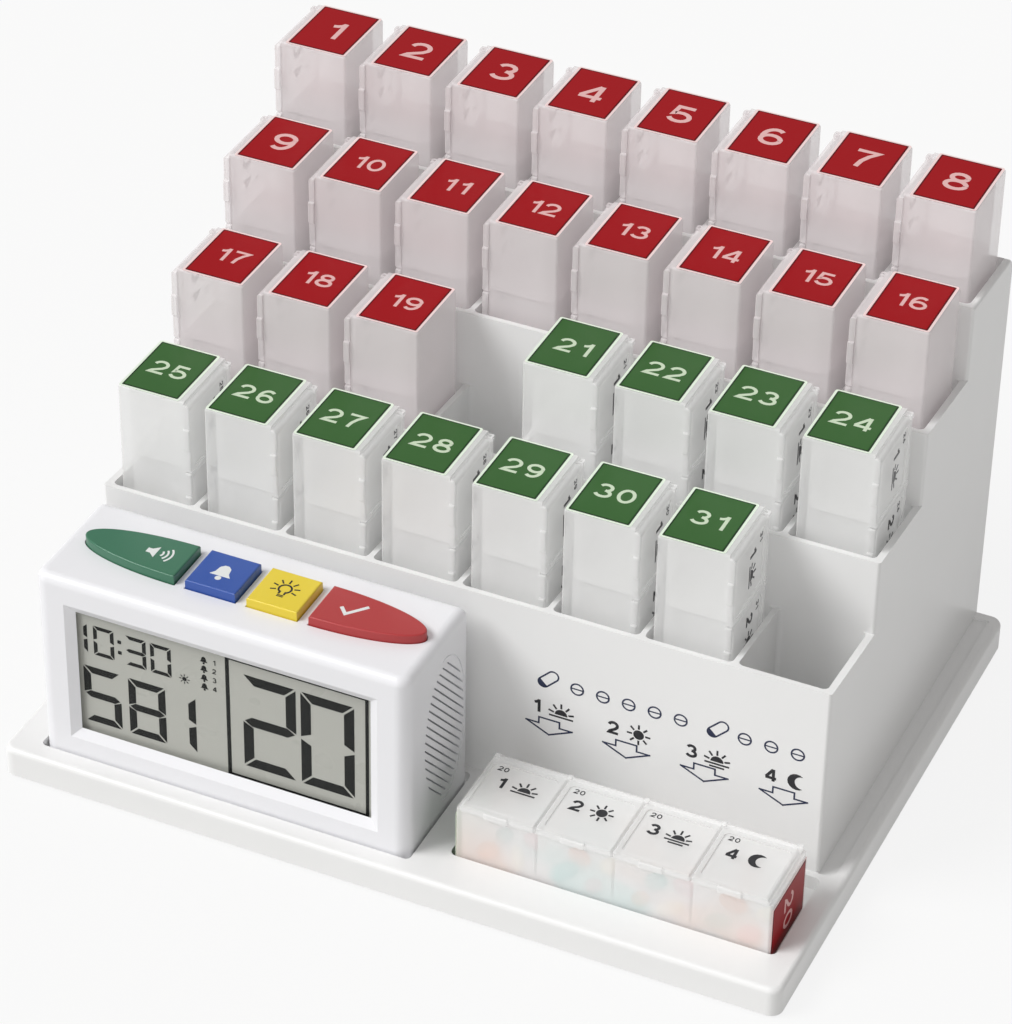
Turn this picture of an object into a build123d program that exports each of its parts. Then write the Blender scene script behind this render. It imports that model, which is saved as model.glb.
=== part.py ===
from build123d import *
import os

# Talking pill organizer for a month: a stepped rack of day boxes on a base tray,
# with a clock unit at the front left and the box of the day lying at the front right.
# Millimetres. Origin under the middle of the base, +X to the right, +Y to the back, +Z up.

# Rack of day boxes
columns = 8
rows = 4
column_pitch = 34.0
row_pitch = 40.6
row_step = 25.0
divider_wall = 2.0
side_wall = 2.5
cross_wall = 2.2
rack_floor = 2.0
slot_depth = 75.5
tread_step = 27.0
tread_drop = 3.0
slot_corner = 2.0
rack_back_corner = 5.0
rack_edge_round = 1.2
empty_slots = (20, 32)
last_red_number = 19

# Base tray
base_margin = 10.5
base_apron = 61.8
base_height = 12.5
base_wall = 2.2
base_corner = 4.5
base_edge_round = 2.0
skirt_gap = 1.0
groove_width = 6.0
groove_depth = 1.2
pocket_depth = 5.5
pocket_front_rim = 16.4
pocket_side_gap = 2.2
pocket_back_gap = 2.6
pocket_corner = 2.5
pocket_box_gap = 0.6
recess_depth = 4.0
recess_gap = 0.8
recess_corner = 2.0

# Rubber feet
foot_radius = 6.0
foot_height = 2.0
foot_inset = 18.0
foot_boss_radius = 8.0

# Screws that hold the rack on the base
rack_boss_radius = 4.0
rack_boss_height = 20.0
rack_screw_radius = 1.4
rack_screw_length = 17.0
rack_screw_head_radius = 2.8
rack_screw_head_height = 2.0
screw_play = 0.05
screw_hole_play = 0.3

# Day boxes
box_length = 116.0
box_width = 31.2
tray_height = 26.0
lid_thickness = 2.4
lid_seat_gap = 0.1
compartments = 4
box_end_wall = 1.6
box_side_wall = 1.4
box_partition = 1.2
box_floor = 1.4
box_edge_round = 1.0
compartment_round = 6.0
lid_gap = 0.5
lid_edge_round = 0.7
lid_end_inset = 1.2
lid_end_round = 1.8
lid_lip = 0.4
lid_tab_width = 9.0
lid_tab_reach = 0.8
lid_panel_margin = 2.0
lid_panel_depth = 0.5
lid_panel_corner = 2.0
lid_ring_depth = 1.2
lid_ring_wall = 1.0
lid_ring_play = 0.3
hinge_barrel_radius = 1.1
hinge_ear_radius = 1.25
hinge_ear_round = 0.7
hinge_ear_width = 1.6
hinge_pin_radius = 0.6
hinge_pin_length = 0.7
hinge_pin_play = 0.05
hinge_end_play = 0.15
hinge_lift = 0.15
hinge_back_inset = 0.3
hinge_swing_gap = 0.65

# Clock unit
clock_width = 143.0
clock_height = 80.0
clock_depth = 47.5
clock_wall = 2.2
clock_side_gap = 12.7
clock_front_gap = 8.2
clock_corner = 5.0
clock_back_corner = 2.0
clock_top_round = 3.5
window_width = 113.2
window_height = 51.2
window_above_floor = 40.4
bevel_width = 3.5

# Display stack
lens_overlap = 2.4
lens_thickness = 1.5
lcd_thickness = 2.4
backlight_thickness = 3.0
stack_gap = 0.1
frame_play = 0.2
frame_border = 2.8
board_thickness = 1.6
board_screw_radius = 0.9
board_screw_head_radius = 1.7
board_screw_head_height = 1.2
board_screw_depth = 5.0
chip_radius = 8.0
chip_height = 1.5
chip_edge = 14.0

# Buttons
wide_button_length = 39.5
small_button_length = 19.2
button_gap = 4.4
button_depth = 19.6
button_proud = 3.5
button_shift = 1.5
button_back_inset = 13.5
button_play = 0.4
button_flange = 0.9
button_flange_height = 1.2
button_flange_gap = 0.1
button_edge_round = 0.6
button_travel = 1.0
stem_radius = 1.7
stem_length = 5.0
switch_size = 6.0
switch_height = 4.0
switch_play = 0.2
switch_floor = 0.5
button_board_margin = 2.0
bracket_reach = 3.0

# Speaker and its grille
grille_half_width = 15.5
grille_half_height = 28.0
grille_outline_gap = 1.4
grille_line_width = 0.6
grille_line_depth = 0.4
grille_slot_width = 0.65
grille_slot_pitch = 2.55
grille_slot_angle = -47.0
grille_slots = 19
grille_back_inset = 18.5
speaker_radius = 14.5
speaker_rim_height = 3.0
speaker_cone_height = 5.0
magnet_radius = 9.0
magnet_height = 4.0
gasket_thickness = 0.7
gasket_width = 2.0

# Battery compartment, door and screws of the clock
battery_count = 4
battery_radius = 7.1
battery_length = 49.5
battery_nub_radius = 2.7
battery_nub_height = 1.0
battery_pitch = 15.0
battery_room = 0.6
compartment_wall = 1.5
contact_thickness = 0.4
contact_width = 9.0
cover_play = 0.2
door_thickness = 1.4
door_overlap = 1.6
door_play = 0.15
rail_width = 2.0
rail_lip = 1.2
clock_boss_radius = 3.0
clock_boss_inset = 2.7
clock_boss_above_floor = 7.5
clock_boss_below_top = 10.5
clock_screw_radius = 1.2
clock_screw_length = 12.0
clock_screw_head_radius = 2.4
clock_screw_head_height = 1.4

# Places that follow from the sizes above
rack_width = columns * column_pitch + 2 * side_wall - divider_wall
rack_depth = rows * row_pitch + cross_wall
base_width = rack_width + 2 * base_margin
base_depth = rack_depth + base_apron
base_back = base_depth / 2
base_front = -base_depth / 2
rack_front = base_back - rack_depth
slot_width = column_pitch - divider_wall
slot_length = row_pitch - cross_wall
box_height = tray_height + lid_seat_gap + lid_thickness
inner_length = (box_length - 2 * box_end_wall - (compartments - 1) * box_partition) / compartments
inner_width = box_width - 2 * box_side_wall
cell_pitch = inner_length + box_partition
hinge_y = box_width / 2 - hinge_barrel_radius - hinge_back_inset
hinge_z = tray_height + hinge_barrel_radius + hinge_lift
lid_back = hinge_y - hinge_ear_radius - hinge_swing_gap
lid_front = -box_width / 2 - lid_lip
pocket_floor = base_height - pocket_depth
recess_floor = base_height - recess_depth
deck_underside = base_height - groove_depth - base_wall
front_underside = pocket_floor - base_wall
clock_left = -base_width / 2 + clock_side_gap
clock_right = clock_left + clock_width
clock_middle = (clock_left + clock_right) / 2
clock_front = base_front + clock_front_gap
clock_back = clock_front + clock_depth
clock_top = recess_floor + clock_height
pocket_left = clock_right + 11.8
pocket_right = rack_width / 2 + pocket_side_gap
pocket_front = base_front + pocket_front_rim
pocket_back = rack_front - pocket_back_gap
today_x = (pocket_left + pocket_right) / 2
today_y = pocket_front + box_width / 2 + pocket_box_gap
window_middle = recess_floor + window_above_floor


def row_front(row):
    """Outer front face of a row, counted from the back row."""
    return rack_front + (rows - 1 - row) * row_pitch


def floor_top(row):
    """Level that the boxes of a row stand on."""
    return base_height + rack_floor + (rows - 1 - row) * row_step


def tread_top(row):
    """Level of the rack's top at the front of a row."""
    return floor_top(rows - 1) + slot_depth + (rows - 1 - row) * tread_step


def column_x(column):
    return (column - (columns - 1) / 2) * column_pitch


def row_middle(row):
    return row_front(row) + cross_wall + slot_length / 2


os.makedirs("parts", exist_ok=True)


# Rack: one moulding with a stepped side, a slot for each day and a hollow under the floors
boss_x = rack_width / 2 - side_wall - rack_boss_radius + 1.0
boss_front = row_front(rows - 2) + cross_wall + rack_boss_radius - 1.0
boss_back = base_back - cross_wall - rack_boss_radius + 1.0
boss_places = [(x, y) for x in (-boss_x, 0, boss_x) for y in (boss_front, boss_back)]

side_points = [(rack_front, base_height), (rack_front, tread_top(rows - 1))]
for row in range(rows - 1, -1, -1):
    tread_back = row_front(row) + row_pitch
    side_points.append((tread_back, tread_top(row) - tread_drop))
    if row > 0:
        side_points.append((tread_back, tread_top(row - 1)))
side_points[-1] = (base_back, side_points[-1][1])
side_points.append((base_back, base_height))

hollow_front = row_front(rows - 2) + cross_wall
hollow_points = [(hollow_front, base_height), (hollow_front, floor_top(rows - 2) - rack_floor)]
for row in range(rows - 2, 0, -1):
    step_y = row_front(row - 1) + cross_wall
    hollow_points.append((step_y, floor_top(row) - rack_floor))
    hollow_points.append((step_y, floor_top(row - 1) - rack_floor))
hollow_points.append((base_back - cross_wall, floor_top(0) - rack_floor))
hollow_points.append((base_back - cross_wall, base_height))

with BuildPart() as pill_rack:
    with BuildSketch(Plane.YZ.offset(-rack_width / 2)):
        with BuildLine():
            Polyline(*side_points, close=True)
        make_face()
    extrude(amount=rack_width)
    back_top = pill_rack.edges().filter_by(Axis.X).group_by(Axis.Y)[-1].sort_by(Axis.Z)[-1]
    fillet(back_top, radius=rack_back_corner)
    fillet(pill_rack.edges().filter_by(Axis.Z), radius=rack_edge_round)
    with BuildSketch(Plane.YZ.offset(-rack_width / 2 + side_wall)):
        with BuildLine():
            Polyline(*hollow_points, close=True)
        make_face()
    extrude(amount=rack_width - 2 * side_wall, mode=Mode.SUBTRACT)
    for row in range(rows):
        with BuildSketch(Plane.XY.offset(floor_top(row))):
            with Locations([(column_x(column), row_middle(row)) for column in range(columns)]):
                RectangleRounded(slot_width, slot_length, slot_corner)
        extrude(amount=tread_top(row) - floor_top(row) + tread_step, mode=Mode.SUBTRACT)
    with BuildSketch(Plane.XY.offset(base_height)):
        with Locations(boss_places):
            Circle(rack_boss_radius)
    extrude(amount=rack_boss_height)
    with BuildSketch(Plane.XY.offset(base_height)):
        with Locations(boss_places):
            Circle(rack_screw_radius + screw_play)
    extrude(amount=rack_boss_height - rack_floor, mode=Mode.SUBTRACT)
pill_rack.part.label = "pill_rack"
export_step(pill_rack.part, "parts/pill_rack.step")


# Base tray: a shallow shell with a rounded rim, a pocket, a recess for the clock and side grooves
foot_x = base_width / 2 - foot_inset
front_feet = [(x, base_front + foot_inset) for x in (-foot_x, foot_x)]
back_feet = [(x, base_back - foot_inset) for x in (-foot_x, foot_x)]
foot_places = front_feet + back_feet
recess_width = clock_width + 2 * recess_gap
recess_back = clock_back + 2 * recess_gap + door_thickness
recess_front = clock_front - recess_gap
groove_length = base_back - base_corner - rack_front

with BuildPart() as base_tray:
    with BuildSketch(Plane.XY.offset(skirt_gap)):
        RectangleRounded(base_width, base_depth, base_corner)
    extrude(amount=base_height - skirt_gap)
    fillet(base_tray.faces().sort_by(Axis.Z)[-1].edges(), radius=base_edge_round)
    with BuildSketch(Plane.XY.offset(pocket_floor)):
        with Locations(((pocket_left + pocket_right) / 2, (pocket_front + pocket_back) / 2)):
            RectangleRounded(pocket_right - pocket_left, pocket_back - pocket_front, pocket_corner)
    extrude(amount=pocket_depth + base_edge_round, mode=Mode.SUBTRACT)
    with BuildSketch(Plane.XY.offset(recess_floor)):
        with Locations((clock_middle, (recess_front + recess_back) / 2)):
            RectangleRounded(recess_width, recess_back - recess_front, recess_corner)
    extrude(amount=recess_depth + base_edge_round, mode=Mode.SUBTRACT)
    with BuildSketch(Plane.XY.offset(base_height - groove_depth)):
        groove_x = rack_width / 2 + groove_width / 2
        groove_y = rack_front + groove_length / 2
        with Locations((-groove_x, groove_y), (groove_x, groove_y)):
            Rectangle(groove_width, groove_length)
    extrude(amount=groove_depth + base_edge_round, mode=Mode.SUBTRACT)
    with BuildSketch(Plane.XY.offset(skirt_gap)):
        RectangleRounded(base_width - 2 * base_wall, base_depth - 2 * base_wall, base_corner - base_wall)
    extrude(amount=front_underside - skirt_gap, mode=Mode.SUBTRACT)
    with BuildSketch(Plane.XY.offset(front_underside)):
        with Locations((0, (rack_front + base_back) / 2)):
            RectangleRounded(rack_width, rack_depth - 2 * base_wall, base_corner - base_wall)
    extrude(amount=deck_underside - front_underside, mode=Mode.SUBTRACT)
    for feet, boss_top in ((front_feet, front_underside), (back_feet, deck_underside)):
        with BuildSketch(Plane.XY.offset(foot_height)):
            with Locations(feet):
                Circle(foot_boss_radius)
        extrude(amount=boss_top - foot_height)
    with BuildSketch(Plane.XY.offset(deck_underside)):
        with Locations(boss_places):
            Circle(rack_screw_radius + screw_hole_play)
    extrude(amount=base_height - deck_underside, mode=Mode.SUBTRACT)
base_tray.part.label = "base_tray"
export_step(base_tray.part, "parts/base_tray.step")


# Rubber feet, one solid each
with BuildPart() as rubber_feet:
    with BuildSketch():
        with Locations(foot_places):
            Circle(foot_radius)
    extrude(amount=foot_height)
rubber_feet.part.label = "rubber_feet"
export_step(rubber_feet.part, "parts/rubber_feet.step")


# Screws that come up through the base into the rack, one solid each
with BuildPart() as rack_screws:
    with BuildSketch(Plane.XY.offset(deck_underside - rack_screw_head_height)):
        with Locations(boss_places):
            Circle(rack_screw_head_radius)
    extrude(amount=rack_screw_head_height)
    with BuildSketch(Plane.XY.offset(deck_underside)):
        with Locations(boss_places):
            Circle(rack_screw_radius)
    extrude(amount=rack_screw_length)
rack_screws.part.label = "rack_screws"
export_step(rack_screws.part, "parts/rack_screws.step")


# Day box, lying with its lids up: length along X, hinges at +Y, red end at +X
lids_end = box_length / 2 - lid_end_inset
ear_places = [hinge_ear_width / 2 - lids_end]
ear_places += [(index - compartments / 2) * cell_pitch for index in range(1, compartments)]
ear_places += [lids_end - hinge_ear_width / 2]
cell_places = [(index - (compartments - 1) / 2) * cell_pitch for index in range(compartments)]

with BuildPart() as box_tray:
    with BuildSketch():
        RectangleRounded(box_length, box_width, box_edge_round)
    extrude(amount=tray_height)
    fillet(box_tray.faces().sort_by(Axis.Z)[0].edges(), radius=box_edge_round * 0.9)
    for cell_x in cell_places:
        with BuildSketch(Plane.YZ.offset(cell_x - inner_length / 2)) as cell_section:
            with Locations((0, (box_floor + tray_height) / 2)):
                Rectangle(inner_width, tray_height - box_floor)
            fillet(cell_section.vertices().group_by(Axis.Y)[0], radius=compartment_round)
        extrude(amount=inner_length, mode=Mode.SUBTRACT)
    for ear_x in ear_places:
        ear_foot = tray_height - hinge_lift
        ear_top = hinge_z + hinge_ear_radius
        with BuildSketch(Plane.YZ.offset(ear_x - hinge_ear_width / 2)) as ear_section:
            with Locations((hinge_y, (ear_foot + ear_top) / 2)):
                Rectangle(2 * hinge_ear_radius, ear_top - ear_foot)
            top_corners = ear_section.vertices().group_by(Axis.Y)[-1]
            fillet(top_corners.sort_by(Axis.X)[-1], radius=hinge_ear_round)
        extrude(amount=hinge_ear_width)
        with BuildSketch(Plane.YZ.offset(ear_x - hinge_ear_width / 2)):
            with Locations((hinge_y, hinge_z)):
                Circle(hinge_pin_radius + hinge_pin_play)
        extrude(amount=hinge_ear_width, mode=Mode.SUBTRACT)


def make_lid(index):
    """Flip lid of one compartment, closed, with its hinge barrel, pins and inner ring."""
    left = cell_places[index] - cell_pitch / 2 + lid_gap / 2
    right = cell_places[index] + cell_pitch / 2 - lid_gap / 2
    round_starts = []
    if index == 0:
        left = -lids_end
        round_starts.append((left, left + lid_end_round))
    if index == compartments - 1:
        right = lids_end
        round_starts.append((right, right - lid_end_round))
    middle = (left + right) / 2
    barrel_left = ear_places[index] + hinge_ear_width / 2 + hinge_end_play
    barrel_right = ear_places[index + 1] - hinge_ear_width / 2 - hinge_end_play
    underside = tray_height + lid_seat_gap
    ring_front = -inner_width / 2 + lid_ring_play
    ring_back = lid_back - lid_ring_play
    ring_length = inner_length - 2 * lid_ring_play
    panel_length = right - left - 2 * lid_panel_margin
    panel_width = lid_back - lid_front - 2 * lid_panel_margin
    with BuildPart() as lid:
        with BuildSketch(Plane.XY.offset(underside)):
            with Locations((middle, (lid_front + lid_back) / 2)):
                RectangleRounded(right - left, lid_back - lid_front, lid_edge_round)
            with Locations((middle, lid_front)):
                RectangleRounded(lid_tab_width, 2 * lid_tab_reach, lid_edge_round)
        extrude(amount=lid_thickness)
        fillet(lid.faces().sort_by(Axis.Z)[-1].edges(), radius=lid_edge_round)
        with BuildSketch(Plane.XY.offset(underside + lid_thickness - lid_panel_depth)):
            with Locations((middle, (lid_front + lid_back) / 2)):
                RectangleRounded(panel_length, panel_width, lid_panel_corner)
        extrude(amount=lid_panel_depth, mode=Mode.SUBTRACT)
        for end, round_start in round_starts:
            round_z = underside + lid_thickness - lid_end_round
            with BuildSketch(Plane.XZ.offset(-lid_back)):
                with Locations(((end + round_start) / 2, round_z + lid_end_round / 2)):
                    Rectangle(lid_end_round, lid_end_round)
                with Locations((round_start, round_z)):
                    Circle(lid_end_round, mode=Mode.SUBTRACT)
            extrude(amount=lid_back - lid_front, mode=Mode.SUBTRACT)
        with BuildSketch(Plane.XY.offset(underside - lid_ring_depth)):
            with Locations((cell_places[index], (ring_front + ring_back) / 2)):
                Rectangle(ring_length, ring_back - ring_front)
                Rectangle(
                    ring_length - 2 * lid_ring_wall,
                    ring_back - ring_front - 2 * lid_ring_wall,
                    mode=Mode.SUBTRACT,
                )
        extrude(amount=lid_ring_depth)
        with BuildSketch(Plane.YZ.offset(barrel_left)):
            with Locations((hinge_y, hinge_z)):
                Circle(hinge_barrel_radius)
            with Locations(((lid_back + hinge_y) / 2 - lid_edge_round, hinge_z)):
                Rectangle(hinge_y - lid_back + 2 * lid_edge_round, hinge_barrel_radius)
        extrude(amount=barrel_right - barrel_left)
        with BuildSketch(Plane.YZ.offset(barrel_left - hinge_pin_length)):
            with Locations((hinge_y, hinge_z)):
                Circle(hinge_pin_radius)
        extrude(amount=barrel_right - barrel_left + 2 * hinge_pin_length)
    return lid.part


box_lids = [make_lid(index) for index in range(compartments)]

# Stored boxes: red end up with the lids to the left, or green end up with the lids to the right
for number in range(1, rows * columns + 1):
    if number in empty_slots:
        continue
    row = (number - 1) // columns
    column = (number - 1) % columns
    red_end_up = number <= last_red_number
    turn = -90 if red_end_up else 90
    sideways = box_height / 2 if red_end_up else -box_height / 2
    place = Location(
        (column_x(column) + sideways, row_middle(row), floor_top(row) + box_length / 2),
        (0, turn, 0),
    )
    with BuildPart() as day_box:
        add(box_tray.part.moved(place))
        for box_lid in box_lids:
            add(box_lid.moved(place))
    day_box.part.label = f"day_box_{number:02d}"
    export_step(day_box.part, f"parts/day_box_{number:02d}.step")

# Box of the day, lying in the pocket, with its tray and its lids as pieces of their own
today_place = Location((today_x, today_y, pocket_floor))
with BuildPart() as today_tray:
    add(box_tray.part.moved(today_place))
today_tray.part.label = "today_tray"
export_step(today_tray.part, "parts/today_tray.step")

for index in range(compartments):
    with BuildPart() as today_lid:
        add(box_lids[index].moved(today_place))
    today_lid.part.label = f"today_lid_{index + 1}"
    export_step(today_lid.part, f"parts/today_lid_{index + 1}.step")


# Buttons on the top of the clock, from left to right
button_y = clock_back - button_back_inset - button_depth / 2
button_lengths = [wide_button_length, small_button_length, small_button_length, wide_button_length]
buttons_total = sum(button_lengths) + button_gap * (len(button_lengths) - 1)
button_starts = [clock_middle + button_shift - buttons_total / 2]
for length in button_lengths[:-1]:
    button_starts.append(button_starts[-1] + length + button_gap)
button_middles = [start + length / 2 for start, length in zip(button_starts, button_lengths)]
top_underside = clock_top - clock_wall
switch_top = top_underside - button_flange_gap - button_flange_height - button_travel - 0.2
board_top = switch_top - switch_height


def button_outline(index, grow):
    """Outline of a button, grown by a margin: half an ellipse at the ends, a rectangle between."""
    start = button_starts[index] - grow
    length = button_lengths[index] + 2 * grow
    half_depth = button_depth / 2 + grow
    with BuildSketch(mode=Mode.PRIVATE) as outline:
        if index in (1, 2):
            with Locations((start + length / 2, button_y)):
                Rectangle(length, 2 * half_depth)
        else:
            flat_x = start + length if index == 0 else start
            seam_turn = 0 if index == 0 else 180
            with Locations((flat_x, button_y)):
                Ellipse(length, half_depth, rotation=seam_turn)
            with Locations((start + length / 2, button_y)):
                Rectangle(length, 2 * half_depth, mode=Mode.INTERSECT)
    return outline.sketch


# Clock housing: front, top, bottom and sides in one shell, open at the back
window_outer_width = window_width + 2 * bevel_width
window_outer_height = window_height + 2 * bevel_width
boss_low = recess_floor + clock_boss_above_floor
boss_high = clock_top - clock_boss_below_top
boss_left = clock_left + clock_wall + clock_boss_inset
boss_right = clock_right - clock_wall - clock_boss_inset
clock_boss_places = [(x, z) for x in (boss_left, boss_right) for z in (boss_low, boss_high)]
cover_outer = clock_back
cover_inner = clock_back - clock_wall
grille_y = clock_back - grille_back_inset
grille_z = window_middle - 1.0
board_left = clock_left + clock_wall + 2 * clock_boss_radius + button_board_margin
board_right = clock_right - clock_wall - 2 * clock_boss_radius - button_board_margin
outline_half_width = grille_half_width + grille_outline_gap
outline_half_height = grille_half_height + 2 * grille_outline_gap

with BuildPart() as clock_housing:
    with BuildSketch(Plane.XY.offset(recess_floor)):
        with Locations((clock_middle, (clock_front + clock_back) / 2)):
            Rectangle(clock_width, clock_depth)
    extrude(amount=clock_height)
    upright_edges = clock_housing.edges().filter_by(Axis.Z)
    fillet(upright_edges.group_by(Axis.Y)[0], radius=clock_corner)
    fillet(upright_edges.group_by(Axis.Y)[-1], radius=clock_back_corner)
    fillet(clock_housing.faces().sort_by(Axis.Z)[-1].edges(), radius=clock_top_round)
    with BuildSketch(Plane.XZ.offset(-clock_back)):
        with Locations((clock_middle, recess_floor + clock_height / 2)):
            RectangleRounded(clock_width - 2 * clock_wall, clock_height - 2 * clock_wall, clock_back_corner)
    extrude(amount=clock_depth - clock_wall, mode=Mode.SUBTRACT)
    with BuildSketch(Plane.XZ.offset(-clock_front)):
        with Locations((clock_middle, window_middle)):
            Rectangle(window_outer_width, window_outer_height)
    with BuildSketch(Plane.XZ.offset(-clock_front - clock_wall)):
        with Locations((clock_middle, window_middle)):
            Rectangle(window_width, window_height)
    loft(mode=Mode.SUBTRACT)
    for index in range(len(button_lengths)):
        with BuildSketch(Plane.XY.offset(top_underside)):
            add(button_outline(index, button_play))
        extrude(amount=clock_wall, mode=Mode.SUBTRACT)
    with BuildSketch(Plane.YZ.offset(clock_right - clock_wall)):
        with Locations((grille_y, grille_z)):
            with Locations(Rotation(0, 0, grille_slot_angle)):
                with GridLocations(0, grille_slot_pitch, 1, grille_slots):
                    Rectangle(3 * grille_half_width, grille_slot_width)
            Ellipse(grille_half_width, grille_half_height, mode=Mode.INTERSECT)
    extrude(amount=clock_wall, mode=Mode.SUBTRACT)
    with BuildSketch(Plane.YZ.offset(clock_right - grille_line_depth)):
        with Locations((grille_y, grille_z)):
            Ellipse(outline_half_width, outline_half_height)
            Ellipse(
                outline_half_width - grille_line_width,
                outline_half_height - grille_line_width,
                mode=Mode.SUBTRACT,
            )
        with Locations((grille_y + outline_half_width * 0.9, grille_z)):
            Rectangle(2 * outline_half_width, 3 * outline_half_height, mode=Mode.INTERSECT)
    extrude(amount=grille_line_depth, mode=Mode.SUBTRACT)
    with BuildSketch(Plane.XZ.offset(-clock_front - clock_wall)):
        with Locations(clock_boss_places):
            Circle(clock_boss_radius)
    extrude(amount=-(cover_inner - clock_front - clock_wall - cover_play))
    with BuildSketch(Plane.XZ.offset(-cover_inner + cover_play)):
        with Locations(clock_boss_places):
            Circle(clock_screw_radius + screw_play)
    extrude(amount=clock_screw_length, mode=Mode.SUBTRACT)
    with BuildSketch(Plane.XY.offset(board_top - 2 * board_thickness)):
        bracket_left = clock_left + clock_wall
        bracket_right = clock_right - clock_wall
        left_length = board_left + bracket_reach - bracket_left
        right_length = bracket_right - board_right + bracket_reach
        with Locations((bracket_left + left_length / 2, button_y)):
            Rectangle(left_length, button_depth / 2)
        with Locations((bracket_right - right_length / 2, button_y)):
            Rectangle(right_length, button_depth / 2)
    extrude(amount=board_thickness)
clock_housing.part.label = "clock_housing"
export_step(clock_housing.part, "parts/clock_housing.step")


# Display stack, from the front: clear window, display glass and light panel inside one frame
lens_width = window_width + 2 * lens_overlap
lens_height = window_height + 2 * lens_overlap
lens_front = clock_front + clock_wall + stack_gap
lcd_front = lens_front + lens_thickness + stack_gap
light_front = lcd_front + lcd_thickness + stack_gap
board_front = light_front + backlight_thickness + stack_gap
frame_width = lens_width + 2 * frame_play + 2 * frame_border
frame_height = lens_height + 2 * frame_play + 2 * frame_border
screw_x = frame_width / 2 - frame_border / 2
screw_z = frame_height / 2 - frame_border / 2
board_screw_places = [
    (clock_middle + x * screw_x, window_middle + z * screw_z)
    for x in (-1, 1)
    for z in (-1, 1)
]


def upright_plate(width, height, front, thickness):
    """Plain plate of the display stack, centred on the window."""
    with BuildPart() as plate:
        with BuildSketch(Plane.XZ.offset(-front)):
            with Locations((clock_middle, window_middle)):
                Rectangle(width, height)
        extrude(amount=-thickness)
    return plate.part


with BuildPart() as lcd_window:
    add(upright_plate(lens_width, lens_height, lens_front, lens_thickness))
lcd_window.part.label = "lcd_window"
export_step(lcd_window.part, "parts/lcd_window.step")

with BuildPart() as lcd_panel:
    add(upright_plate(lens_width, lens_height, lcd_front, lcd_thickness))
lcd_panel.part.label = "lcd_panel"
export_step(lcd_panel.part, "parts/lcd_panel.step")

with BuildPart() as backlight_panel:
    add(upright_plate(lens_width, lens_height, light_front, backlight_thickness))
backlight_panel.part.label = "backlight_panel"
export_step(backlight_panel.part, "parts/backlight_panel.step")

with BuildPart() as lcd_frame:
    with BuildSketch(Plane.XZ.offset(-lens_front)):
        with Locations((clock_middle, window_middle)):
            Rectangle(frame_width, frame_height)
            Rectangle(lens_width + 2 * frame_play, lens_height + 2 * frame_play, mode=Mode.SUBTRACT)
    extrude(amount=-(board_front - stack_gap - lens_front))
    with BuildSketch(Plane.XZ.offset(-board_front + stack_gap)):
        with Locations(board_screw_places):
            Circle(board_screw_radius + screw_play)
    extrude(amount=board_screw_depth, mode=Mode.SUBTRACT)
lcd_frame.part.label = "lcd_frame"
export_step(lcd_frame.part, "parts/lcd_frame.step")

with BuildPart() as main_board:
    with BuildSketch(Plane.XZ.offset(-board_front)):
        with Locations((clock_middle, window_middle)):
            Rectangle(frame_width, frame_height)
        with Locations(board_screw_places):
            Circle(board_screw_radius + screw_hole_play / 2, mode=Mode.SUBTRACT)
    extrude(amount=-board_thickness)
    with BuildSketch(Plane.XZ.offset(-board_front - board_thickness)):
        with Locations((clock_middle - 2.5 * chip_edge, window_middle)):
            Circle(chip_radius)
        with Locations((clock_middle + 2.5 * chip_edge, window_middle)):
            Rectangle(chip_edge, chip_edge)
    extrude(amount=-chip_height)
main_board.part.label = "main_board"
export_step(main_board.part, "parts/main_board.step")

with BuildPart() as board_screws:
    with BuildSketch(Plane.XZ.offset(-board_front - board_thickness)):
        with Locations(board_screw_places):
            Circle(board_screw_head_radius)
    extrude(amount=-board_screw_head_height)
    with BuildSketch(Plane.XZ.offset(-board_front - board_thickness)):
        with Locations(board_screw_places):
            Circle(board_screw_radius)
    extrude(amount=board_thickness + board_screw_depth - stack_gap)
board_screws.part.label = "board_screws"
export_step(board_screws.part, "parts/board_screws.step")


# Board under the buttons, with one switch under each button
with BuildPart() as button_board:
    with BuildSketch(Plane.XY.offset(board_top - board_thickness)):
        with Locations(((board_left + board_right) / 2, button_y)):
            Rectangle(board_right - board_left, button_depth)
    extrude(amount=board_thickness)
button_board.part.label = "button_board"
export_step(button_board.part, "parts/button_board.step")

with BuildPart() as tact_switches:
    with BuildSketch(Plane.XY.offset(board_top)):
        with Locations([(middle, button_y) for middle in button_middles]):
            Rectangle(switch_size, switch_size)
    extrude(amount=switch_height)
    with BuildSketch(Plane.XY.offset(board_top + switch_floor)):
        with Locations([(middle, button_y) for middle in button_middles]):
            Circle(stem_radius + switch_play)
    extrude(amount=switch_height, mode=Mode.SUBTRACT)
tact_switches.part.label = "tact_switches"
export_step(tact_switches.part, "parts/tact_switches.step")


def make_button(index, name):
    """Button cap with its retaining flange under the top wall and its stem."""
    flange_top = top_underside - button_flange_gap
    with BuildPart() as button:
        with BuildSketch(Plane.XY.offset(flange_top)):
            add(button_outline(index, 0))
        extrude(amount=clock_top + button_proud - flange_top)
        fillet(button.faces().sort_by(Axis.Z)[-1].edges(), radius=button_edge_round)
        with BuildSketch(Plane.XY.offset(flange_top - button_flange_height)):
            add(button_outline(index, button_play + button_flange))
        extrude(amount=button_flange_height)
        with BuildSketch(Plane.XY.offset(flange_top - button_flange_height)):
            with Locations((button_middles[index], button_y)):
                Circle(stem_radius)
        extrude(amount=-(stem_length - button_flange_height - switch_floor))
    button.part.label = name
    export_step(button.part, f"parts/{name}.step")
    return button.part


talk_button = make_button(0, "talk_button")
check_button = make_button(1, "check_button")
light_button = make_button(2, "light_button")
confirm_button = make_button(3, "confirm_button")


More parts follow.
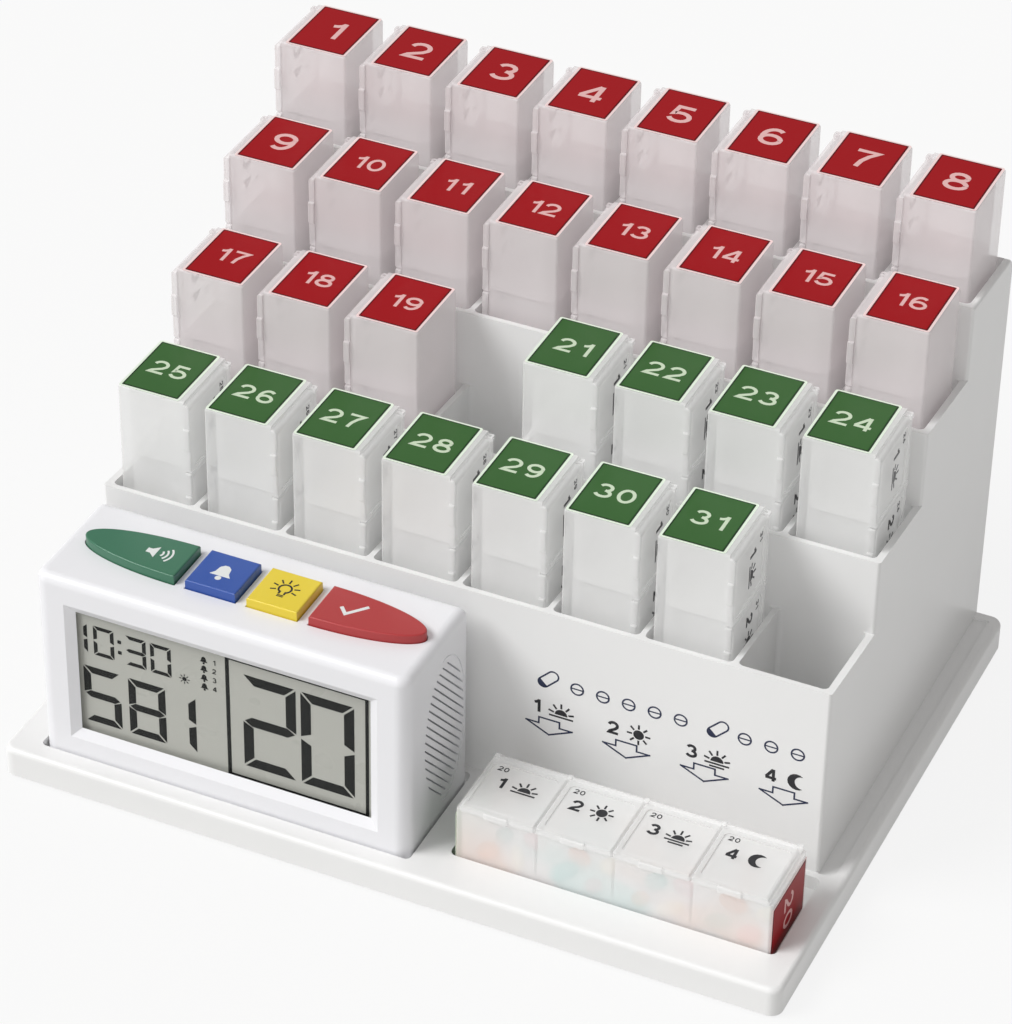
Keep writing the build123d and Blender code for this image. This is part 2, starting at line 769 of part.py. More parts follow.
# Speaker behind the side grille, with its gasket
speaker_face = clock_right - clock_wall - gasket_thickness
with BuildPart() as speaker_gasket:
    with BuildSketch(Plane.YZ.offset(speaker_face)):
        with Locations((grille_y, grille_z)):
            Circle(speaker_radius)
            Circle(speaker_radius - gasket_width, mode=Mode.SUBTRACT)
    extrude(amount=gasket_thickness)
speaker_gasket.part.label = "speaker_gasket"
export_step(speaker_gasket.part, "parts/speaker_gasket.step")

with BuildPart() as speaker:
    with BuildSketch(Plane.YZ.offset(speaker_face)):
        with Locations((grille_y, grille_z)):
            Circle(speaker_radius)
    extrude(amount=-speaker_rim_height)
    with BuildSketch(Plane.YZ.offset(speaker_face - speaker_rim_height)):
        with Locations((grille_y, grille_z)):
            Circle(speaker_radius - gasket_width)
    with BuildSketch(Plane.YZ.offset(speaker_face - speaker_rim_height - speaker_cone_height)):
        with Locations((grille_y, grille_z)):
            Circle(magnet_radius)
    loft()
    with BuildSketch(Plane.YZ.offset(speaker_face - speaker_rim_height - speaker_cone_height)):
        with Locations((grille_y, grille_z)):
            Circle(magnet_radius)
    extrude(amount=-magnet_height)
    with BuildSketch(Plane.YZ.offset(speaker_face)):
        with Locations((grille_y, grille_z)):
            Circle(speaker_radius - gasket_width)
    with BuildSketch(Plane.YZ.offset(speaker_face - speaker_rim_height)):
        with Locations((grille_y, grille_z)):
            Circle(magnet_radius)
    loft(mode=Mode.SUBTRACT)
speaker.part.label = "speaker"
export_step(speaker.part, "parts/speaker.step")


# Back cover with the battery compartment and the rails of the door
room_width = battery_pitch * (battery_count - 1) + 2 * battery_radius + 2 * battery_room
room_height = battery_length + battery_nub_height + 2 * battery_room + 2 * contact_thickness
room_depth = 2 * battery_radius + battery_room
room_middle = recess_floor + clock_height / 2
room_inner = cover_inner - room_depth + clock_wall
door_width = room_width + 2 * door_overlap
door_height = room_height + 2 * door_overlap
door_inner = cover_outer + door_play

with BuildPart() as clock_back_cover:
    with BuildSketch(Plane.XZ.offset(-cover_inner)):
        with Locations((clock_middle, room_middle)):
            RectangleRounded(
                clock_width - 2 * clock_wall - 2 * cover_play,
                clock_height - 2 * clock_wall - 2 * cover_play,
                clock_back_corner,
            )
    extrude(amount=-clock_wall)
    with BuildSketch(Plane.XZ.offset(-cover_inner)):
        with Locations((clock_middle, room_middle)):
            Rectangle(room_width + 2 * compartment_wall, room_height + 2 * compartment_wall)
    extrude(amount=cover_inner - room_inner + compartment_wall)
    with BuildSketch(Plane.XZ.offset(-cover_outer)):
        with Locations((clock_middle, room_middle)):
            Rectangle(room_width, room_height)
    extrude(amount=cover_outer - room_inner, mode=Mode.SUBTRACT)
    with BuildSketch(Plane.XZ.offset(-cover_outer)):
        with Locations(clock_boss_places):
            Circle(clock_screw_head_radius + screw_hole_play)
    extrude(amount=clock_screw_head_height, mode=Mode.SUBTRACT)
    with BuildSketch(Plane.XZ.offset(-cover_outer)):
        with Locations(clock_boss_places):
            Circle(clock_screw_radius + screw_hole_play)
    extrude(amount=clock_wall, mode=Mode.SUBTRACT)
    with BuildSketch(Plane.XZ.offset(-cover_outer)):
        rail_x = door_width / 2 + door_play + rail_width / 2
        with Locations((clock_middle - rail_x, room_middle), (clock_middle + rail_x, room_middle)):
            Rectangle(rail_width, door_height)
        with Locations((clock_middle, room_middle - door_height / 2 - door_play - rail_width / 2)):
            Rectangle(door_width + 2 * door_play + 2 * rail_width, rail_width)
    extrude(amount=-(door_thickness + 2 * door_play + rail_lip))
    with BuildSketch(Plane.XZ.offset(-door_inner - door_thickness - door_play)):
        lip_x = door_width / 2 + door_play - rail_lip / 2
        with Locations((clock_middle - lip_x, room_middle), (clock_middle + lip_x, room_middle)):
            Rectangle(rail_lip, door_height)
    extrude(amount=-rail_lip)
clock_back_cover.part.label = "clock_back_cover"
export_step(clock_back_cover.part, "parts/clock_back_cover.step")

with BuildPart() as battery_door:
    with BuildSketch(Plane.XZ.offset(-door_inner)):
        with Locations((clock_middle, room_middle)):
            Rectangle(door_width, door_height)
    extrude(amount=-door_thickness)
battery_door.part.label = "battery_door"
export_step(battery_door.part, "parts/battery_door.step")

battery_axis_y = room_inner + battery_radius + battery_room / 2
battery_bottom = room_middle - room_height / 2 + battery_room + contact_thickness
first_battery = clock_middle - (battery_count - 1) / 2 * battery_pitch
battery_xs = [first_battery + index * battery_pitch for index in range(battery_count)]
with BuildPart() as batteries:
    with BuildSketch(Plane.XY.offset(battery_bottom)):
        with Locations([(x, battery_axis_y) for x in battery_xs]):
            Circle(battery_radius)
    extrude(amount=battery_length)
    with BuildSketch(Plane.XY.offset(battery_bottom + battery_length)):
        with Locations([(x, battery_axis_y) for x in battery_xs]):
            Circle(battery_nub_radius)
    extrude(amount=battery_nub_height)
batteries.part.label = "batteries"
export_step(batteries.part, "parts/batteries.step")

with BuildPart() as battery_contacts:
    for level in (room_middle - room_height / 2, room_middle + room_height / 2 - contact_thickness):
        with BuildSketch(Plane.XY.offset(level)):
            with Locations([(x, battery_axis_y) for x in battery_xs]):
                Rectangle(contact_width, contact_width)
        extrude(amount=contact_thickness)
battery_contacts.part.label = "battery_contacts"
export_step(battery_contacts.part, "parts/battery_contacts.step")

with BuildPart() as clock_screws:
    with BuildSketch(Plane.XZ.offset(-cover_outer)):
        with Locations(clock_boss_places):
            Circle(clock_screw_head_radius)
    extrude(amount=clock_screw_head_height)
    with BuildSketch(Plane.XZ.offset(-cover_outer + clock_screw_head_height)):
        with Locations(clock_boss_places):
            Circle(clock_screw_radius)
    extrude(amount=clock_screw_length)
clock_screws.part.label = "clock_screws"
export_step(clock_screws.part, "parts/clock_screws.step")
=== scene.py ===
# %% [markdown]
# A pill organizer for a month is a stepped rack of upright day boxes, a talking clock and a
# pocket for the box of the day, all on one white base tray. The solids come from the packed
# model, already at their right places in metres. This script dresses them: it gives every
# node a finish, adds labels, prints, display figures and pills, and sets up the studio.

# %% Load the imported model
import math
import random

import bpy
from mathutils import Matrix, Vector


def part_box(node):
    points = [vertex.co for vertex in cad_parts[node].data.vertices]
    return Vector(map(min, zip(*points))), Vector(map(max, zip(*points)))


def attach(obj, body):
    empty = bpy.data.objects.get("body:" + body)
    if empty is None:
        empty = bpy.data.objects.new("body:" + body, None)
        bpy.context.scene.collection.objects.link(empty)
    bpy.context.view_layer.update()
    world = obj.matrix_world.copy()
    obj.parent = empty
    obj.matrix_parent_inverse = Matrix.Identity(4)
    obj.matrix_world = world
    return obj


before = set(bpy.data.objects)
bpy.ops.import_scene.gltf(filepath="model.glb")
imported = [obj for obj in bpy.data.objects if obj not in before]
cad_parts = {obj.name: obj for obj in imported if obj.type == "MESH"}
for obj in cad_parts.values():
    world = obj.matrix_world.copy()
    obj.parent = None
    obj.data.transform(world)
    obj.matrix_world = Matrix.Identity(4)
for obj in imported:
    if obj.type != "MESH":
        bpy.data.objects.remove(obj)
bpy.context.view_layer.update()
scene = bpy.context.scene
mm = 0.001

# %% [markdown]
# The camera is a long lens that looks down on the organizer from the front right. Its place
# and turn are worked out from the photograph's perspective: the labels stand on an even grid,
# so their spacing gives the view. The lens is stated for the long side of the picture.

# %% Camera
camera_place = Vector((0.46590, -1.05250, 0.92195))
camera_yaw = math.radians(24.0886)
camera_pitch = math.radians(35.9297)
camera_roll = math.radians(1.0298)
back = Vector((
    math.sin(camera_yaw) * math.cos(camera_pitch),
    -math.cos(camera_yaw) * math.cos(camera_pitch),
    math.sin(camera_pitch),
))
level_right = Vector((0, 0, 1)).cross(back).normalized()
level_up = back.cross(level_right)
right = math.cos(camera_roll) * level_right + math.sin(camera_roll) * level_up
up = math.cos(camera_roll) * level_up - math.sin(camera_roll) * level_right
camera_data = bpy.data.cameras.new("studio_camera")
camera_data.sensor_width = 36.0
camera_data.lens = 142.186
camera_data.clip_end = 20.0
camera = bpy.data.objects.new("studio_camera", camera_data)
camera.matrix_world = Matrix.Translation(camera_place) @ Matrix((right, up, back)).transposed().to_4x4()
scene.collection.objects.link(camera)
scene.camera = camera
print("camera distance", round(camera_place.length, 3))

# %% [markdown]
# Shader maths reads best as plain expressions. A small class wraps one socket of a material
# and gives it the operators, so "1 - mask" or "noise * 0.2 + 0.4" adds the Math nodes by
# itself. A second class holds one material and adds any other node.


# %% Socket arithmetic
class Term:
    """One output socket of a material, with arithmetic that adds Math nodes."""

    def __init__(self, finish, socket):
        self.finish = finish
        self.socket = socket

    def math(self, operation, first, second):
        return self.finish.node("ShaderNodeMath", {"operation": operation}, {0: first, 1: second})

    def __add__(self, other):
        return self.math("ADD", self, other)

    def __rsub__(self, other):
        return self.math("SUBTRACT", other, self)

    def __mul__(self, other):
        return self.math("MULTIPLY", self, other)

    def above(self, level):
        return self.math("GREATER_THAN", self, level)


class Finish:
    """One material: a Principled shader and the nodes that feed it."""

    def __init__(self, name, color, roughness, **fixed):
        self.material = bpy.data.materials.new(name)
        self.material.use_nodes = True
        self.tree = self.material.node_tree
        self.tree.nodes.clear()
        output = self.tree.nodes.new("ShaderNodeOutputMaterial")
        self.shader = self.tree.nodes.new("ShaderNodeBsdfPrincipled")
        self.tree.links.new(self.shader.outputs["BSDF"], output.inputs["Surface"])
        self.set("Base Color", (*color, 1.0))
        self.set("Roughness", roughness)
        for key, value in fixed.items():
            self.set(key.replace("_", " "), value)

    def set(self, name, value):
        self.shader.inputs[name].default_value = value

    def feed(self, name, term):
        self.tree.links.new(term.socket, self.shader.inputs[name])

    def node(self, kind, settings=None, values=None, out=0):
        made = self.tree.nodes.new(kind)
        for key, value in (settings or {}).items():
            if key == "stops":
                ramp = made.color_ramp
                for index, (position, color) in enumerate(value):
                    stop = ramp.elements[index] if index < 2 else ramp.elements.new(position)
                    stop.position = position
                    stop.color = color
            else:
                setattr(made, key, value)
        for key, value in (values or {}).items():
            if isinstance(value, Term):
                self.tree.links.new(value.socket, made.inputs[key])
            else:
                made.inputs[key].default_value = value
        return Term(self, made.outputs[out])

    def place(self):
        return self.node("ShaderNodeTexCoord", out="Object")

    def noise(self, scale, detail=2.0):
        values = {"Vector": self.place(), "Scale": scale, "Detail": detail}
        return self.node("ShaderNodeTexNoise", None, values)

    def blend(self, factor, low, high):
        values = {"Factor": factor, "A": (*low, 1.0), "B": (*high, 1.0)}
        return self.color_mix(values)

    def color_mix(self, values):
        made = self.tree.nodes.new("ShaderNodeMix")
        made.data_type = "RGBA"
        sockets = {"Factor": made.inputs[0], "A": made.inputs[6], "B": made.inputs[7]}
        for key, value in values.items():
            if isinstance(value, Term):
                self.tree.links.new(value.socket, sockets[key])
            else:
                sockets[key].default_value = value
        return Term(self, made.outputs[2])

    def bump(self, height, distance):
        values = {"Height": height, "Distance": distance}
        self.feed("Normal", self.node("ShaderNodeBump", None, values))


def grained(name, color, roughness, grain=900.0, depth=0.00002, spread=0.06, tint=0.03, **fixed):
    """Moulded plastic: a slight unevenness of colour and gloss over a fine grain."""
    finish = Finish(name, color, roughness, **fixed)
    cloud = finish.noise(18.0)
    dark = tuple(channel * (1.0 - tint) for channel in color)
    finish.feed("Base Color", finish.blend(cloud, dark, color))
    finish.feed("Roughness", finish.noise(60.0) * spread + (roughness - spread / 2))
    finish.bump(finish.noise(grain, 3.0), depth)
    return finish


print("finish helpers ready")

# %% [markdown]
# The white mouldings are polystyrene or ABS: bright, satin, with a very fine grain from the
# tool. The clock's housing is the same kind of plastic with a slightly cooler tint. Pure
# white would leave no room for highlights, so the base colour stays at about 85 percent.

# %% White mouldings
white = grained("white_moulding", (0.86, 0.86, 0.855), 0.33)
cool_white = grained("clock_moulding", (0.86, 0.86, 0.885), 0.3)
print("white finishes", white.material.name, cool_white.material.name)

# %% [markdown]
# The day boxes are frosted polypropylene. Light goes through the thin wall, so partitions and
# pills show as soft shades. Rough transmission would do, but it is slow and grey in a deep
# stack of walls, so the wall is a bright plastic with a constant Alpha: part of each ray goes
# straight on, and a faint painted glow stands for light scattered in the wall and lifts the
# shade in the gaps between boxes. Boxes with the red label up get a rosy painted light in their
# colour and glow, for the label's red light spreading through the plastic. The pills' coloured
# light is painted into the wall of the box of the day the same way, as soft clouds that fade
# towards the top of the wall.

# %% Frosted boxes
def frosted_wall(name, color, alpha):
    """Bright thin plastic that lets part of each ray straight on, with a faint painted glow."""
    return grained(
        name, color, 0.38, grain=500.0, depth=0.00003, Alpha=alpha,
        # Painted glow: a faint emission that brightens the wall and the shaded gaps between boxes.
        Emission_Color=(*color, 1.0), Emission_Strength=0.07,
    )


frosted = frosted_wall("frosted_polypropylene", (0.9, 0.9, 0.895), 0.45)
# Painted red light: red-label-up boxes get a rosy colour and glow for light from the label.
red_lit_frosted = frosted_wall("frosted_painted_red_light", (0.85, 0.805, 0.812), 0.45)
today_frosted = frosted_wall("frosted_painted_pill_light", (0.93, 0.93, 0.925), 0.5)
# Painted coloured light of the pills: soft clouds of tint in the base colour.
painted_pill_light = today_frosted.node("ShaderNodeValToRGB", {"stops": [
    (0.34, (0.76, 0.90, 0.89, 1.0)), (0.45, (0.94, 0.93, 0.93, 1.0)),
    (0.54, (0.95, 0.90, 0.90, 1.0)), (0.66, (0.97, 0.80, 0.73, 1.0)),
]}, {"Fac": today_frosted.noise(58.0, 0.0)})
tray_low, tray_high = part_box("today_tray")
level = today_frosted.node("ShaderNodeSeparateXYZ", None, {0: today_frosted.place()}, out=2)
# The painted pill light fades towards the top of the wall.
pill_light_fade = (tray_high.z - level) * (0.85 / (tray_high.z - tray_low.z))
plain_wall = (0.93, 0.93, 0.925, 1.0)
today_frosted.feed("Base Color", today_frosted.color_mix({"Factor": pill_light_fade, "A": plain_wall, "B": painted_pill_light}))
print("frosted finishes", frosted.material.name, red_lit_frosted.material.name)

# %% [markdown]
# Smaller pieces each get their own plain finish: the four button colours, rubber, plated
# steel, black plastic, the boards' green mask, the display's glass and its light panel.

# %% Small finishes
green_button = grained("green_button", (0.043, 0.17, 0.098), 0.3)
blue_button = grained("blue_button", (0.03, 0.09, 0.38), 0.3)
yellow_button = grained("yellow_button", (0.8, 0.62, 0.045), 0.3)
red_button = grained("red_button", (0.44, 0.04, 0.042), 0.3)
rubber = grained("foot_rubber", (0.03, 0.03, 0.03), 0.8, grain=1500.0, depth=0.00005)
steel = grained("plated_steel", (0.62, 0.61, 0.6), 0.32, grain=2500.0, Metallic=1.0)
black = grained("black_plastic", (0.02, 0.02, 0.021), 0.5)
board_green = grained("board_mask", (0.02, 0.14, 0.06), 0.4)
diffuser = grained("light_diffuser", (0.8, 0.82, 0.84), 0.6)
cone = grained("speaker_cone", (0.26, 0.26, 0.265), 0.85, grain=700.0, depth=0.0002)
display = grained("display_glass", (0.575, 0.58, 0.53), 0.28, tint=0.06)
window = Finish("clear_window", (0.02, 0.022, 0.022), 0.04, Alpha=0.06)
print("small finishes ready")

# %% [markdown]
# A battery has a metal end and a printed sleeve. The sleeve's bands follow the height, so
# they are read from the Object coordinates, which are the same as the model's frame.

# %% Battery sleeve
sleeve = Finish("battery_sleeve", (0.03, 0.03, 0.035), 0.3, Metallic=0.6)
battery_low, battery_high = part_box("batteries")
height = sleeve.node("ShaderNodeSeparateXYZ", None, {0: sleeve.place()}, out=2)
top_band = height.above(battery_high.z - 0.013)
bare_end = height.above(battery_high.z - 0.002)
sleeve_color = sleeve.blend(top_band, (0.03, 0.03, 0.035), (0.62, 0.36, 0.16))
steel_end = (0.7, 0.7, 0.7, 1.0)
sleeve.feed("Base Color", sleeve.color_mix({"Factor": bare_end, "A": sleeve_color, "B": steel_end}))
print("battery bands from", round(battery_low.z, 4), "to", round(battery_high.z, 4))


# %% Give each node its finish
def dress(node, finish):
    """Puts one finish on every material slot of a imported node."""
    node_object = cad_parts[node]
    if not node_object.material_slots:
        node_object.data.materials.append(finish.material)
    for holder in node_object.material_slots:
        holder.material = finish.material


node_finishes = {
    "base_tray": white, "pill_rack": white, "rubber_feet": rubber, "rack_screws": steel,
    "today_tray": today_frosted, "clock_housing": cool_white, "clock_back_cover": cool_white,
    "battery_door": cool_white, "clock_screws": steel, "lcd_window": window,
    "lcd_panel": display, "lcd_frame": black, "backlight_panel": diffuser,
    "main_board": board_green, "board_screws": steel, "button_board": board_green,
    "tact_switches": black, "talk_button": green_button, "check_button": blue_button,
    "light_button": yellow_button, "confirm_button": red_button, "speaker": cone,
    "speaker_gasket": rubber, "batteries": sleeve, "battery_contacts": steel,
}
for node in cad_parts:
    if node.startswith("today_lid"):
        node_finishes[node] = frosted
    if node.startswith("day_box"):
        # Boxes with the red label up take the finish with painted red light.
        node_finishes[node] = red_lit_frosted if int(node[-2:]) < 20 else frosted
for node, finish in node_finishes.items():
    dress(node, finish)
bare = sorted(set(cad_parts) - set(node_finishes))
print("nodes without a finish:", bare)

# %% [markdown]
# Labels, prints and display figures are all thin flat shapes on top of a face. One small
# class collects such shapes into a single mesh, each shape placed by a matrix and given one
# of the piece's finishes. Shapes are drawn in millimetres on a flat sheet, X to the right
# and Y up, and stand about a tenth of a millimetre high, so they are real geometry.


# %% Flat shapes
def prism(outline, low, high):
    """Closed solid over a flat outline that runs counter-clockwise."""
    count = len(outline)
    points = [(x, y, low) for x, y in outline] + [(x, y, high) for x, y in outline]
    faces = [list(range(count))[::-1], list(range(count, 2 * count))]
    for index in range(count):
        after = (index + 1) % count
        faces.append([index, after, count + after, count + index])
    return points, faces


def rounded(width, depth, corner, steps=4):
    """Outline of a rectangle with rounded corners, centred."""
    outline = []
    for quarter, (sx, sy) in enumerate(((1, 1), (-1, 1), (-1, -1), (1, -1))):
        for step in range(steps + 1):
            angle = (quarter + step / steps) * math.pi / 2
            outline.append((
                sx * (width / 2 - corner) + corner * math.cos(angle),
                sy * (depth / 2 - corner) + corner * math.sin(angle),
            ))
    return outline


def disc(radius, steps=20):
    turns = [2 * math.pi * step / steps for step in range(steps)]
    return [(radius * math.cos(turn), radius * math.sin(turn)) for turn in turns]


def moved(outline, dx=0.0, dy=0.0):
    return [(x + dx, y + dy) for x, y in outline]


def band(outer, inner, low, high):
    """Closed ring between two outlines with the same number of points."""
    count = len(outer)
    rings = [(outer, low), (inner, low), (inner, high), (outer, high)]
    points = [(x, y, level) for outline, level in rings for x, y in outline]
    faces = []
    for ring in range(4):
        next_ring = (ring + 1) % 4
        for index in range(count):
            after = (index + 1) % count
            faces.append([
                ring * count + after, ring * count + index,
                next_ring * count + index, next_ring * count + after,
            ])
    return points, faces


print_low = -0.02
print_high = 0.06
layer_rise = 0.012


def stroke(path, width, low, high):
    """Straight strokes along a path, thin bars with square ends at slightly different heights."""
    points, faces = [], []
    for index, ((ax, ay), (bx, by)) in enumerate(zip(path, path[1:])):
        length = math.hypot(bx - ax, by - ay)
        ux, uy = (bx - ax) / length, (by - ay) / length
        ex, ey = ux * width / 2, uy * width / 2
        corners = [
            (ax - ex + ey, ay - ey - ex), (bx + ex + ey, by + ey - ex),
            (bx + ex - ey, by + ey + ex), (ax - ex - ey, ay - ey + ex),
        ]
        bar_points, bar_faces = prism(corners, low, high + layer_rise * (index % 4))
        base = len(points)
        points += bar_points
        faces += [[base + i for i in face] for face in bar_faces]
    return points, faces


class Sheet:
    """Collects flat shapes in several finishes into one mesh piece."""

    def __init__(self, place):
        self.place = place
        self.points = []
        self.faces = []
        self.marks = []

    def add(self, shape, finish, shift=None):
        base = len(self.points)
        points, faces = shape
        place = self.place if shift is None else self.place @ shift
        self.points += [place @ Vector(point) for point in points]
        self.faces += [[base + i for i in face] for face in faces]
        self.marks += [finish] * len(faces)

    def join(self, other):
        base = len(self.points)
        self.points += other.points
        self.faces += [[base + i for i in face] for face in other.faces]
        self.marks += other.marks

    def piece(self, name, finishes, body, slot):
        mesh = bpy.data.meshes.new(name)
        mesh.from_pydata([tuple(p * mm) for p in self.points], [], self.faces)
        for finish in finishes:
            mesh.materials.append(finish.material)
        mesh.polygons.foreach_set("material_index", self.marks)
        mesh.update()
        made = bpy.data.objects.new(name, mesh)
        scene.collection.objects.link(made)
        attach(made, body)
        return made


print("flat shape helpers ready")

# %% [markdown]
# The numbers are wide and plain, with strokes of one thickness. A font would do, but its
# strokes can't be matched, so each figure is drawn as one or two centre lines on a grid that
# is one unit high, from arcs and straight runs, and a ribbon of constant width follows them.


# %% Ribbons and figures
def arc(radius, start, end, steps=8, squeeze=1.0):
    turns = [math.radians(start + (end - start) * step / steps) for step in range(steps + 1)]
    return [(radius * math.cos(turn), radius * squeeze * math.sin(turn)) for turn in turns]


def ribbon(path, width, low, high):
    """Closed bar of constant width along an open centre line, with mitred turns."""
    left, right_side = [], []
    for index, (x, y) in enumerate(path):
        before = path[max(index - 1, 0)]
        after = path[min(index + 1, len(path) - 1)]
        runs = []
        for (ax, ay), (bx, by) in ((before, (x, y)), ((x, y), after)):
            length = math.hypot(bx - ax, by - ay)
            if length > 0:
                runs.append(((bx - ax) / length, (by - ay) / length))
        nx, ny = -sum(run[1] for run in runs), sum(run[0] for run in runs)
        size = math.hypot(nx, ny)
        nx, ny = nx / size, ny / size
        spread = width / 2 / max(0.5, -nx * runs[0][1] + ny * runs[0][0])
        left.append((x + nx * spread, y + ny * spread))
        right_side.append((x - nx * spread, y - ny * spread))
    count = len(path)
    points = [(x, y, level) for level in (low, high) for x, y in right_side + left]
    faces = []
    for index in range(count - 1):
        a, b, c, d = index, index + 1, count + index + 1, count + index
        shift = 2 * count
        faces.append([d, c, b, a])
        faces.append([shift + a, shift + b, shift + c, shift + d])
        faces.append([a, b, shift + b, shift + a])
        faces.append([c, d, shift + d, shift + c])
    for a, d in ((0, count), (2 * count - 1, count - 1)):
        faces.append([d, a, 2 * count + a, 2 * count + d])
    return points, faces


def oval(x, y, radius, squeeze, start=0, end=360, steps=16):
    return moved(arc(radius, start, end, steps, squeeze), x, y)


FIGURE_LINES = {
    "0": [oval(0.37, 0.5, 0.28, 1.5, 90, 450, 24)],
    "1": [[(0.14, 0.74), (0.26, 0.77), (0.36, 0.84), (0.43, 0.95)], [(0.43, 0.0), (0.43, 1.0)]],
    "2": [
        oval(0.36, 0.67, 0.26, 0.96, 170, -20, 10)
        + [(0.5, 0.44), (0.16, 0.2), (0.09, 0.08), (0.67, 0.08)],
    ],
    "3": [oval(0.35, 0.71, 0.23, 0.92, 160, -80, 10), oval(0.35, 0.3, 0.28, 0.8, 85, -160, 12)],
    "4": [[(0.53, 0.0), (0.53, 0.95)], [(0.5, 0.93), (0.09, 0.28)], [(0.05, 0.25), (0.7, 0.25)]],
    "5": [[(0.62, 0.92), (0.17, 0.92), (0.13, 0.5)] + oval(0.35, 0.33, 0.28, 0.9, 130, -160, 12)],
    "6": [oval(0.37, 0.32, 0.27, 0.9, 0, 360, 18), oval(0.39, 0.5, 0.29, 1.42, 52, 195, 9)],
    "7": [[(0.07, 0.92), (0.65, 0.92), (0.46, 0.66), (0.33, 0.36), (0.28, 0.0)]],
    "8": [oval(0.37, 0.73, 0.22, 0.86, 0, 360, 16), oval(0.37, 0.3, 0.28, 0.8, 0, 360, 18)],
    "9": [oval(0.37, 0.68, 0.27, 0.9, 0, 360, 18), oval(0.35, 0.5, 0.29, 1.42, 232, 375, 9)],
}
figure_advance = 0.86
figure_widths = {"1": 0.62}


def figures(text, size, stretch=1.0, weight=0.16, low=0.0, high=0.1):
    """Figures as a thin solid of the given height, centred; crossing strokes differ in height."""
    total = sum(figure_widths.get(sign, figure_advance) for sign in text) - 0.12
    points, faces = [], []
    cursor = -total / 2
    for sign in text:
        for layer, line in enumerate(FIGURE_LINES[sign]):
            path = [((x + cursor) * stretch * size, (y - 0.5) * size) for x, y in line]
            line_high = high + layer_rise * layer
            line_points, line_faces = ribbon(path, weight * size, low, line_high)
            base = len(points)
            points += line_points
            faces += [[base + i for i in face] for face in line_faces]
        cursor += figure_widths.get(sign, figure_advance)
    return points, faces


print("figure test", len(figures("20", 10.0)[0]), "points")

# %% [markdown]
# Every box carries its day number on its ends: a red label on one, a green one on the other.
# The stored boxes show red up to the 19th and green from the 21st. A label is a printed
# plastic film, so it gets a little gloss, a thin pale border and a pale number.

# %% Label finishes
label_red = grained("label_red", (0.35, 0.007, 0.011), 0.3, spread=0.1, Specular_IOR_Level=0.08)
label_green = grained("label_green", (0.043, 0.13, 0.034), 0.22, spread=0.1, Specular_IOR_Level=0.2)
key_red = grained("keyline_on_red", (0.12, 0.004, 0.008), 0.3, Specular_IOR_Level=0.08)
key_green = grained("keyline_on_green", (0.01, 0.035, 0.009), 0.3, Specular_IOR_Level=0.2)
rim_rosy = grained("border_on_red", (0.93, 0.72, 0.71), 0.4)
rim_green = grained("border_on_green", (0.82, 0.93, 0.78), 0.4)
figure_pink = grained("figure_on_red", (0.80, 0.48, 0.47), 0.4)
figure_pale = grained("figure_on_green", (0.62, 0.74, 0.55), 0.4)

box_length = 116.0
box_width = 31.2
label_middle = 12.3
label_size = (22.0, 29.4)
border_size = (23.8, 30.9)
keyline = 0.6
border_top, keyline_top, field_top, figure_top = 0.05, 0.08, 0.12, 0.16
one_figure_height = 11.7
two_figure_height = 8.2
label_slots = [
    rim_rosy, key_red, label_red, figure_pink, rim_green, key_green, label_green, figure_pale,
]


def add_label(sheet, day, red):
    """Border, keyline, coloured field and number of one end label, flat on the sheet."""
    border, key, field, figure = (0, 1, 2, 3) if red else (4, 5, 6, 7)
    inner = [side - 2 * keyline for side in label_size]
    tall = one_figure_height if day < 10 else two_figure_height
    sheet.add(prism(rounded(*border_size, 0.9), print_low, border_top), border)
    sheet.add(prism(rounded(*label_size, 0.4), 0.0, keyline_top), key)
    sheet.add(prism(rounded(*inner, 0.3), 0.0, field_top), field)
    sheet.add(figures(str(day), tall, 1.12, 0.155, 0.1, figure_top), figure)


print("label finishes ready")

# %% [markdown]
# Beside the number, each of the four lids of a box says which dose it holds. A row of plain
# pictograms does that without words: sunrise, full sun, sunset and moon, with the figures
# one to four. The small figure near the hinge repeats the day.

# %% Dose pictograms
ink = grained("print_ink", (0.012, 0.012, 0.016), 0.4)
navy_ink = grained("navy_print", (0.01, 0.018, 0.06), 0.4)

print_mark = len(label_slots)
dose_figure_size = 5.4
day_figure_size = 2.3


def rays(inner, outer, width, start, end, count, low, high):
    """Short strokes that stand around a sun."""
    shapes = []
    for index in range(count):
        turn = math.radians(start + (end - start) * index / (count - 1))
        tip = [(radius * math.cos(turn), radius * math.sin(turn)) for radius in (inner, outer)]
        shapes.append(stroke(tip, width, low, high))
    return shapes


def half_disc(radius, steps=12):
    turns = [math.pi * step / steps for step in range(steps + 1)]
    return [(radius * math.cos(turn), radius * math.sin(turn)) for turn in turns]


def crescent(radius, steps=12):
    outer = [math.radians(50 + 260 * step / steps) for step in range(steps + 1)]
    points = [(radius * math.cos(turn), radius * math.sin(turn)) for turn in outer]
    centre = radius * 0.55
    reach = math.hypot(points[0][0] - centre, points[0][1])
    start = math.atan2(points[-1][1], points[-1][0] - centre) + 2 * math.pi
    end = math.atan2(points[0][1], points[0][0] - centre)
    for step in range(1, steps):
        turn = start + (end - start) * step / steps
        points.append((centre + reach * math.cos(turn), reach * math.sin(turn)))
    return points


def dose_symbol(dose, low, high):
    """Flat shapes of one dose pictogram, about 8 mm across."""
    if dose == 2:
        shapes = [prism(disc(2.0), low, high)]
        return shapes + rays(2.8, 4.0, 0.7, 0, 315, 8, low, high)
    if dose == 4:
        return [prism(crescent(3.4), low, high)]
    shapes = [prism(moved(half_disc(2.4), 0, -1.6), low, high)]
    for points, faces in rays(3.2, 4.6, 0.7, 15, 165, 5, low, high):
        shapes.append(([(x, y - 1.6, z) for x, y, z in points], faces))
    shapes.append(stroke([(-4.2, -2.5), (4.2, -2.5)], 0.7, low, high))
    if dose == 3:
        shapes.append(stroke([(-2.4, -3.8), (2.4, -3.8)], 0.7, low, high))
    return shapes


